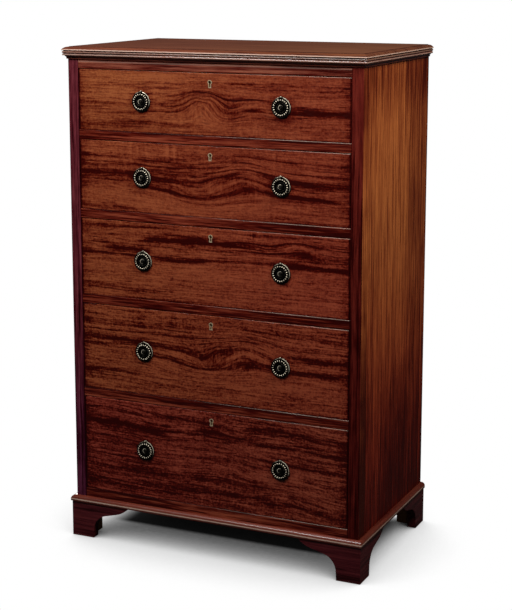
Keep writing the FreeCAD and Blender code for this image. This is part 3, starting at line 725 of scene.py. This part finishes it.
def side_finish():
    """Two boards of upright ribbon grain, painted gold and lighter higher up as painted light, with painted
    shade under the top and darker and redder towards the foot.
    """
    finish = Finish("ribbon_mahogany")
    x, y, z = finish.place()
    shift = y.above(SIDE_SEAM) * 3.1 + x.above(0.0) * 7.3
    place = z + shift, y + shift, x * 0.2
    # Painted light and shade: lighter higher up, darker under the top and towards the foot.
    level = z.rise(0.12, 0.72) * 0.56 - z.rise(1.04, 1.17) * 0.27
    level = level + z.bell(0.93, 0.10) * 0.08 - z.rise(0.28, 0.10) * 0.12
    behind = y.rise(0.03, 0.21) * z.rise(0.2, 0.9)
    seam = y.bell(SIDE_SEAM, 0.002) + y.rise(Y_BACK - 0.009, Y_BACK - 0.004)
    tone = straight_grain(finish, place, 8.0, 1.25) - 0.40 + level - behind * 0.34 - seam * 0.2
    colour, roughness, height = polished_wood(finish, place, tone, SIDE_WOOD)
    # Painted shade: darker and redder towards the foot.
    colour = finish.mix(z.rise(0.85, 0.12), colour, (1.0, 0.42, 0.62), "MULTIPLY")
    return finish.close(colour, roughness, height, 0.0005, **DULLED)


def post_finish():
    """Upright grain: a painted plum reflection on the left post, painted shade dark red low on the right one,
    a painted shadow line at the inner edges, and faded sides with painted light higher up and painted shade
    under the top and at the foot.
    """
    finish = Finish("post_mahogany")
    x, y, z = finish.place()
    left = x.rise(0.01, -0.01)
    place = z + x.above(0.0) * 3.3, x, y
    inner = FRONTS[1][1].x
    # A painted shadow line at the inner edge, beside the drawer gaps.
    painted_gap_shadow = abs(x).rise(inner + 0.0045, inner + 0.002)
    clouds = finish.noise(x * 40.0, 0.0, z * 18.0)
    tone = straight_grain(finish, place, 12.0) + clouds * 0.5 - painted_gap_shadow * 0.4
    # Painted shade: darker towards the foot, most on the right post.
    left_fall = 0.14 + z.rise(0.8, 0.1) * 0.1
    right_fall = 0.03 + z.rise(1.08, 0.48) * 0.33
    fall = left * left_fall + (1.0 - left) * right_fall
    front, roughness, height = polished_wood(finish, place, tone - fall, POST_WOOD)
    # A painted plum reflection on the left post.
    plum = finish.mix(z.rise(0.6, 0.15), (1.1, 1.35, 3.0), (1.1, 1.6, 6.0))
    front = finish.mix(1.0, front, finish.mix(left, (1.0, 0.8, 0.85), plum), "MULTIPLY")
    # On the sides, painted light higher up and painted shade under the top and at the foot.
    level = z.rise(0.34, 0.84) * 0.78 - z.rise(0.92, 1.10) * 0.42
    behind = wood_ramp(finish, tone - 0.62 + level - z.rise(0.4, 0.1) * 0.25, SIDE_WOOD)
    colour = finish.mix(y.rise(Y_FACE + 0.0008, Y_FACE + 0.002), front, behind)
    return finish.close(colour, roughness, height, 0.0004, **DULLED)


# Heights of the foot of the top rail and of the pale highlight line painted on it under the cove
TOP_RAIL_FOOT, TOP_RAIL_LINE = 1.172, 1.1905

# Heights of the dark rails in the middle, the paler one over the bottom drawer, and the dark bottom rail
DARK_RAILS, PALE_RAIL, BOTTOM_RAIL = 0.72, 0.377, 0.12


def rail_finish():
    """Streaky grain from side to side, darker to the right and on some rails, with painted highlights on the
    top arrises, and the top rail painted lighter and bluer under the cove.
    """
    finish = Finish("rail_mahogany")
    x, y, z = finish.place()
    place = x, z, y
    # The top rail is painted lighter and bluer, as painted light in the shade of the cove.
    upper = z.rise(TOP_RAIL_FOOT, TOP_RAIL_FOOT + 0.006)
    tone = straight_grain(finish, place, 14.0, 2.0) - 0.1 - x.rise(0.0, 0.36) * 0.2 + upper * 0.12
    tone = tone - z.bell(DARK_RAILS, 0.15) * 0.32 + z.bell(PALE_RAIL, 0.06) * 0.12
    tone = tone - z.rise(BOTTOM_RAIL + 0.08, BOTTOM_RAIL) * 0.2
    colour, roughness, height = polished_wood(finish, place, tone, FRONT_WOOD)
    cast = finish.mix(upper, (0.94, 0.84, 0.95), (1.0, 1.3, 1.8))
    colour = finish.mix(1.0, colour, cast, "MULTIPLY")
    # A painted highlight: a pale line along the top rail under the cove.
    colour = finish.mix(z.bell(TOP_RAIL_LINE, 0.0013) * 0.3, colour, PALE_WEAR_AND_HIGHLIGHT)
    # Painted highlights: pale lines on the rails' top arrises under the drawers.
    arris = 0.0
    for low, _ in FRONTS.values():
        arris = z.bell(low.z - 0.0010, 0.0008) + arris
    rubbed = arris * y.rise(Y_FACE + 0.004, Y_FACE + 0.002) * highlight_length(finish, x)
    colour = finish.mix(rubbed, colour, PALE_WEAR_AND_HIGHLIGHT)
    return finish.close(colour, roughness, height, 0.0004, **POLISH)


def mitred_finish(name, wood, crest, wear_and_highlight_strength, painted_light_above, polish):
    """Mahogany whose grain runs along the front, and turns along the sides past the mitre at each corner.

    At the height of its crest it is painted pale: a painted highlight on the mouldings, and rubbed wear on
    the feet. Above the crest it may be painted lighter, as painted light on a round that faces up.
    """
    finish = Finish(name)
    x, y, z = finish.place()
    beside = (abs(x) - HALF_CASE).above(Y_FACE - y)
    before = 1.0 - beside
    place = beside * (y + 5.0) + before * x, z, beside * x + before * y
    # Painted light: the tone raised on the round above the crest.
    tone = straight_grain(finish, place, 12.0) + z.rise(crest, crest + 0.003) * painted_light_above
    colour, roughness, height = polished_wood(finish, place, tone, wood)
    # A pale line at the crest: a painted highlight on the mouldings, and rubbed wear on the feet.
    rubbed = z.bell(crest, 0.0013) * (0.75 + grain(finish, place, 60, 60)) * wear_and_highlight_strength
    colour = finish.mix(rubbed, colour, PALE_WEAR_AND_HIGHLIGHT)
    return finish.close(colour, roughness, height, 0.0003, **polish)


# Depths below the tops of the cove and base mouldings of their crests, where highlights are painted
COVE_CREST, BASE_CREST = 0.0022, 0.0090


def cove_finish():
    """The moulding under the top, waxed, with a painted highlight on its astragal."""
    return mitred_finish("cove_mahogany", MOULDING_WOOD, COVE_TOP - COVE_CREST, 0.85, 0.0, WAXED)


def base_finish():
    """The base moulding, nearly black, with a painted highlight on its crest and painted light on the round
    above it.
    """
    return mitred_finish("base_mahogany", BASE_WOOD, BASE_TOP - BASE_CREST, 1.6, 0.42, HANDLED)


def foot_finish():
    """The bracket feet, dark plum, a little rubbed at the floor."""
    return mitred_finish("foot_mahogany", FOOT_WOOD, 0.0, 0.15, 0.0, POLISH)


# Heights of the bead, the quirk and the nose above the foot of the top's edge, in millimetres
BEAD_UP, QUIRK_UP, NOSE_UP = 3.6, 6.9, 8.6

# How far the step of the top's sunk thumb lies inside its edge
THUMB_STEP = 0.0150


def top_finish():
    """A faded top with its grain from side to side, a dark line at the step of its thumb, painted shade in
    the quirk and at the foot of its edge, and painted highlights on the nose and the bead.
    """
    finish = Finish("faded_mahogany_top")
    x, y, z = finish.place()
    place = x, y, z * 0.3
    inside = (abs(x) - top_high.x).larger(top_low.y - y)
    edge = z - top_low.z
    # A dark line at the thumb's step, and painted shade in the quirk under the nose and at the foot of the
    # edge.
    dark_line_and_shade = inside.bell(-THUMB_STEP, 0.0024) * 1.3
    dark_line_and_shade = dark_line_and_shade + edge.bell(QUIRK_UP * MM, 0.0009) + edge.rise(0.0009, 0.0003)
    thumb = inside.rise(-THUMB_STEP + 0.0004, -THUMB_STEP + 0.005)
    tone = straight_grain(finish, place, 45.0, 0.8) - thumb * 0.28 - dark_line_and_shade * 0.5
    colour, roughness, height = polished_wood(finish, place, tone, TOP_WOOD)
    colour = finish.mix(x.rise(-0.2, 0.3), colour, (0.98, 1.14, 0.98), "MULTIPLY")
    # Painted highlights: pale lines on the nose and the bead.
    nose = inside.rise(-0.0022, -0.0004) * edge.bell(NOSE_UP * MM, 0.0019)
    bead = inside.rise(-0.0060, -0.0030) * edge.bell(BEAD_UP * MM, 0.0013)
    colour = finish.mix(nose * 0.95 + bead * 0.3, colour, PALE_WEAR_AND_HIGHLIGHT)
    return finish.close(colour, roughness + dark_line_and_shade * 0.2, height, 0.0004, **HANDLED)


# Raw timber: dark and light colours, strength of its ray flecks, and width of its growth bands in millimetres
OAK = dict(dark=(0.175, 0.074, 0.026), light=(0.490, 0.246, 0.098), flecks=1.0, bands=17.0)
PINE = dict(dark=(0.190, 0.072, 0.021), light=(0.560, 0.268, 0.096), flecks=0.0, bands=26.0)

# Half width of the dirt at the joints of the back boards
BACK_JOINT = 0.0045

# Knots in the back boards, in millimetres: across, up and half width
BACK_KNOTS = [(-255, 820, 9), (-120, 340, 7), (-62, 1010, 10), (92, 610, 8), (232, 930, 6), (268, 280, 9)]


def raw_wood(finish, place, wood):
    """Tone and height of unpolished timber: growth bands, fine lines, pores and rays."""
    u, v, w = place
    bend = grain(finish, place, 450, 200) * 0.05
    growth = grain(finish, (u, v + bend, w + bend), 830, wood["bands"])
    lines = grain(finish, place, 160, 3.1)
    pores = grain(finish, place, 18, 1.1, 1.0).rise(0.05, 0.2)
    rays = grain(finish, place, 25, 7.7, 1.0).rise(0.16, 0.24) * wood["flecks"]
    tone = 0.5 + growth * 1.1 + lines * 0.7 - pores * 0.22 + rays * 0.18
    return tone, lines * 0.35 - pores * 0.3


def aged(finish, place, tone, height, wood):
    """Raw timber closed under a dull film of dirt."""
    dirt = grain(finish, place, 250, 140, 3.0)
    colour = finish.ramp(tone + dirt * 0.4, [(0.1, wood["dark"]), (0.9, wood["light"])])
    colour = finish.mix(dirt.rise(-0.1, 0.3) * 0.3, colour, (0.78, 0.68, 0.60), "MULTIPLY")
    return finish.close(colour, 0.7 + dirt * 0.3, height, 0.0004, Specular_IOR_Level=0.3)


def timber_finish(name, along, wood):
    """Raw timber with its grain along one axis."""
    finish = Finish(name)
    axes = finish.place()
    place = (axes[along], *(axes[axis] for axis in range(3) if axis != along))
    tone, height = raw_wood(finish, place, wood)
    return aged(finish, place, tone, height, wood)


def back_finish():
    """Upright pine boards, each with its own grain, which parts round knots, and dirt along the joints."""
    finish = Finish("pine_back")
    x, y, z = finish.place()
    pitch = (back_high.x - back_low.x) / BACK_BOARDS
    count = (x - back_low.x) * (1 / pitch)
    board = math.floor(count)
    joint = abs(count - board - 0.5).rise(0.5 - BACK_JOINT / pitch, 0.5)
    across = x + board * 0.29
    knotty = 0.0
    for middle, up, half in BACK_KNOTS:
        dx, dz = x - middle * MM, (z - up * MM) * 0.6
        reach = (dx * dx + dz * dz) ** 0.5
        across = across - dx * reach.bell(0.0, 3.2 * half * MM) * 0.85
        knotty = reach.rise(1.2 * half * MM, 0.6 * half * MM) + knotty
    place = z + board * 1.7, across, y
    tone, height = raw_wood(finish, place, PINE)
    shade = finish.noise(board * 3.3 + 0.7, 0.5, 0.5, 1.0)
    tone = tone + shade * 0.6 - joint * 0.4 - knotty * 0.45
    return aged(finish, place, tone, height - joint * 2.0, PINE)


def antique_brass_finish():
    """Cast brass, nearly black in the hollows and rubbed pale on the high spots, with a painted highlight on
    one side of the plates' rims and collars.
    """
    finish = Finish("antique_brass")
    x, y, z = finish.place()
    # The paleness attribute is wear, with a painted highlight on the rims and collars of the plates.
    worn_and_highlight = finish.add("ShaderNodeAttribute", {"attribute_name": "rubbed"}, {}, "Fac")
    spots = finish.noise(x * 330.0, y * 330.0, z * 330.0)
    pits = finish.noise(x * 1900.0, y * 1900.0, z * 1900.0, 1.0)
    bright = (worn_and_highlight + spots * 0.6).rise(0.35, 0.95)
    stops = [(0.0, (0.007, 0.006, 0.005)), (0.5, (0.06, 0.048, 0.033)), (1.0, (0.78, 0.69, 0.53))]
    colour = finish.ramp(bright, stops)
    roughness = 0.5 - bright * 0.18 + spots * 0.2
    height = spots * 0.5 + pits * 0.3
    return finish.close(colour, roughness, height, 0.0002, Metallic=0.9 - bright * 0.6)


def brass_finish():
    """Pale worn brass with fine scratches and brown tarnish."""
    finish = Finish("worn_brass")
    x, y, z = finish.place()
    tarnish = finish.noise(x * 160.0, y * 160.0, z * 160.0)
    scratches = finish.noise(x * 240.0, y * 2600.0, z * 1800.0, 1.0)
    tone = 0.65 + tarnish * 0.9 + scratches * 0.4
    stops = [(0.1, (0.16, 0.10, 0.05)), (0.6, (0.60, 0.46, 0.28)), (1.0, (0.84, 0.70, 0.48))]
    colour = finish.ramp(tone, stops)
    roughness = 0.4 - tarnish * 0.4
    return finish.close(colour, roughness, scratches, 0.0001, Metallic=0.45)


def iron_finish():
    """Hammered nail heads, dark with brown rust."""
    finish = Finish("nail_iron")
    x, y, z = finish.place()
    rust = finish.noise(x * 500.0, y * 500.0, z * 500.0)
    dents = finish.noise(x * 900.0, y * 900.0, z * 900.0, 1.0)
    colour = finish.ramp(rust + 0.5, [(0.35, (0.035, 0.032, 0.03)), (0.7, (0.13, 0.055, 0.025))])
    return finish.close(colour, 0.55 + rust * 0.5, dents, 0.0004, Metallic=0.6)


def dress_nodes():
    """Gives every node that stays its finish."""
    along_x, along_y, along_z = range(3)
    oak_x = timber_finish("oak_across", along_x, OAK)
    oak_y = timber_finish("oak_deep", along_y, OAK)
    pine_x = timber_finish("pine_across", along_x, PINE)
    pine_z = timber_finish("pine_upright", along_z, PINE)
    brass = brass_finish()
    side = side_finish()
    finishes = {
        "front_rails": rail_finish(),
        "front_stiles": post_finish(),
        "side_left": side,
        "side_right": side,
        "sub_top": pine_x,
        "bottom_board": pine_x,
        "back_boards": back_finish(),
        "back_nails": iron_finish(),
        "drawer_runners": oak_y,
        "drawer_stops": oak_x,
        "top_board": top_finish(),
        "top_mouldings": cove_finish(),
        "base_mouldings": base_finish(),
        "bracket_feet": foot_finish(),
        "foot_blocks": pine_z,
    }
    for number in DRAWERS:
        drawer = f"drawer_{number}"
        finishes[f"{drawer}_front"] = drawer_front_finish(number)
        finishes[f"{drawer}_sides"] = oak_y
        finishes[f"{drawer}_back"] = oak_x
        finishes[f"{drawer}_bottom"] = oak_x
        finishes[f"{drawer}_lock"] = brass
        finishes[f"{drawer}_lock_bolt"] = brass
    for name, material in finishes.items():
        mesh = frame["nodes"][name].data
        mesh.materials.clear()
        mesh.materials.append(material)


# Stage, light and camera

FLOOR_RADIUS, FLOOR_LEVEL = 3.2, -0.0004
BLACK, WHITE = (0.0, 0.0, 0.0), (1.0, 1.0, 1.0)
DIM_FLOOR, DIM_SURROUND = (0.05, 0.05, 0.05), (0.022, 0.022, 0.024)
LAMPS = {
    "front_lamp": dict(
        place=(-0.7, -1.5, 2.7),
        target=(-0.1, -0.2, 1.1),
        size=(0.9, 0.7),
        power=54.0,
        colour=WHITE,
    ),
    "side_lamp": dict(
        place=(1.45, -0.5, 2.6),
        target=(0.38, 0.0, 1.15),
        size=(0.8, 0.8),
        power=44.0,
        colour=(1.0, 0.95, 0.88),
    ),
    "rear_lamp": dict(
        place=(-1.6, 2.4, 0.9),
        target=(0.0, 0.2, 0.7),
        size=(1.0, 0.6),
        power=36.0,
        colour=(1.0, 0.96, 0.9),
    ),
}
IMAGE_LONG = 610.0
SENSOR = 36.0
FOCAL_PIXELS = 1530.4
SHIFT_PIXELS = 66.0
CAMERA_PLACE = (1.5648, -3.3798, 1.4195)
CAMERA_YAW, CAMERA_PITCH = 24.608, 10.196


def floor_finish():
    """White to the eye, with a painted shadow: darker towards the chest and nearly black under it. Other
    things see it as dim.
    """
    finish = Finish("pale_floor")
    x, y, _ = finish.place()
    near = finish.add("ShaderNodeAmbientOcclusion", {"samples": 16}, {"Distance": 0.35}, "AO")
    wide = finish.add("ShaderNodeAmbientOcclusion", {"samples": 16}, {"Distance": 1.5}, "AO")
    shade = (near * 1.3).smaller(1.0) * ((wide - 0.05) * 2.5).larger(0.0).smaller(1.0)
    # A painted strip of deep shadow on the floor under the front of the chest.
    deep = y.rise(-0.102, -0.080) * y.rise(0.22, 0.18) * abs(x).rise(0.36, 0.30)
    bright = shade ** 0.6 * (0.82 + shade ** 3.0 * 0.18) * (1.0 - deep * 0.95)
    white = finish.add("ShaderNodeEmission", {}, {"Color": finish.mix(bright, BLACK, WHITE)})
    dim = finish.add("ShaderNodeBsdfDiffuse", {}, {"Color": DIM_FLOOR})
    seen = finish.add("ShaderNodeLightPath", {}, {}, "Is Camera Ray")
    return finish.close_on(finish.add("ShaderNodeMixShader", {}, {0: seen, 1: dim, 2: white}))


def add_floor():
    """A flat disc: rings of points at even radii about the middle of the chest."""
    radius = np.linspace(0, FLOOR_RADIUS, 24)[:, None]
    angle = circle(96)
    across, along = radius * np.cos(angle), radius * np.sin(angle)
    points, quads = loft(np.stack(np.broadcast_arrays(across, along, FLOOR_LEVEL), axis=-1))
    mesh = bpy.data.meshes.new("floor")
    mesh.from_pydata(points.tolist(), [], quads.tolist())
    mesh.materials.append(floor_finish())
    place_object("floor", mesh)


def add_lamp(name, place, target, size, power, colour):
    """A soft oblong lamp that faces its target."""
    lamp = bpy.data.lights.new(name, "AREA")
    lamp.shape = "RECTANGLE"
    lamp.size, lamp.size_y = size
    lamp.energy = power
    lamp.color = colour
    holder = place_object(name, lamp)
    holder.location = place
    holder.visible_camera = False
    aim = np.array(target) - np.array(place)
    tilt = math.acos(-aim[2] / np.linalg.norm(aim))
    turn = math.atan2(aim[1], aim[0]) - math.pi / 2
    holder.rotation_euler = (tilt, 0.0, turn)


def add_light():
    """A white surround, dim to all but the eye, and soft lamps over the front and right side and behind."""
    surround = Finish("studio", "worlds", "ShaderNodeOutputWorld")
    seen = surround.add("ShaderNodeLightPath", {}, {}, "Is Camera Ray")
    colour = surround.mix(seen, DIM_SURROUND, WHITE)
    shader = surround.add("ShaderNodeBackground", {}, {"Color": colour})
    bpy.context.scene.world = surround.close_on(shader)
    for name, lamp in LAMPS.items():
        add_lamp(name, **lamp)


def add_camera():
    """The view of the front and the right side, from a little above the top."""
    lens = bpy.data.cameras.new("camera")
    lens.sensor_width = SENSOR
    lens.lens = FOCAL_PIXELS * SENSOR / IMAGE_LONG
    lens.shift_y = -SHIFT_PIXELS / IMAGE_LONG
    camera = place_object("camera", lens)
    camera.location = CAMERA_PLACE
    camera.rotation_euler = (math.radians(90 - CAMERA_PITCH), 0.0, math.radians(CAMERA_YAW))
    bpy.context.scene.camera = camera


dress_nodes()
add_handles(antique_brass_finish())
add_floor()
add_light()
add_camera()
bpy.context.scene.view_settings.view_transform = "Standard"
